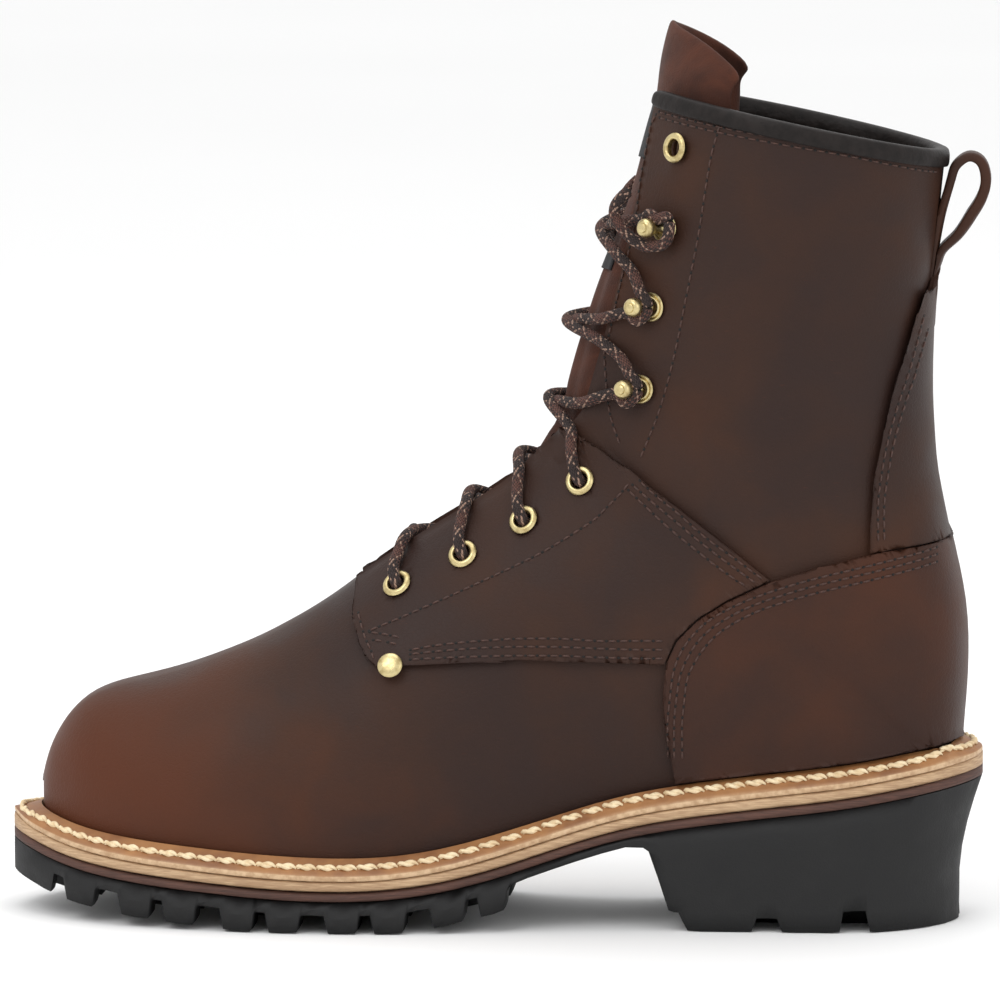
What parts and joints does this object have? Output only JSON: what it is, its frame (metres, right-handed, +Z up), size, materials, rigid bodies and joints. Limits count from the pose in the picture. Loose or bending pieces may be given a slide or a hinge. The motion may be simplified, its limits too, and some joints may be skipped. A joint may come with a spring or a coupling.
{
  "type": "logger boot",
  "caption": "Left lace-up logger boot in brown oiled leather, with a stacked leather sole, a lugged rubber unit and a high heel.",
  "frame": {"origin": "on the floor under the middle of the heel tread", "axes": "+X from the heel to the toe, +Y to the outer side of the foot, +Z up"},
  "size_m": [0.3171, 0.1071, 0.2891],
  "materials": {
    "oiled_leather": "oiled, softly worn",
    "foxing_leather": "oiled, redder at the heel",
    "tongue_leather": "nubuck",
    "welt_leather": "waxed",
    "midsole_leather": "cut edge",
    "runner_leather": "dark cut edge",
    "insole_leather": "natural",
    "rubber": "matte",
    "binding": "soft dark band",
    "antique_brass": "antique, satin",
    "lace": "round braid"
  },
  "bodies": {
    "root": {"upper": "oiled_leather", "counter": "foxing_leather", "backstay": "oiled_leather", "quarter_inner": "oiled_leather", "quarter_outer": "oiled_leather", "tongue": "tongue_leather", "pull_loop": "oiled_leather", "binding": "binding", "outsole": "rubber", "runner": "runner_leather", "midsole": "midsole_leather", "welt": "welt_leather", "insole": "insole_leather", "eyelet_inner_1": "antique_brass", "eyelet_inner_2": "antique_brass", "eyelet_inner_3": "antique_brass", "eyelet_inner_4": "antique_brass", "eyelet_inner_5": "antique_brass", "eyelet_outer_1": "antique_brass", "eyelet_outer_2": "antique_brass", "eyelet_outer_3": "antique_brass", "eyelet_outer_4": "antique_brass", "eyelet_outer_5": "antique_brass", "hook_inner_1": "antique_brass", "hook_inner_2": "antique_brass", "hook_inner_3": "antique_brass", "hook_outer_1": "antique_brass", "hook_outer_2": "antique_brass", "hook_outer_3": "antique_brass", "lace_cross_1": "lace", "lace_cross_2": "lace", "lace_cross_3": "lace", "lace_cross_4": "lace", "lace_cross_5": "lace", "lace_cross_6": "lace", "lace_end_inner": "lace", "lace_end_outer": "lace", "rivet_inner": "antique_brass", "rivet_outer": "antique_brass"}
  },
  "joints": []
}
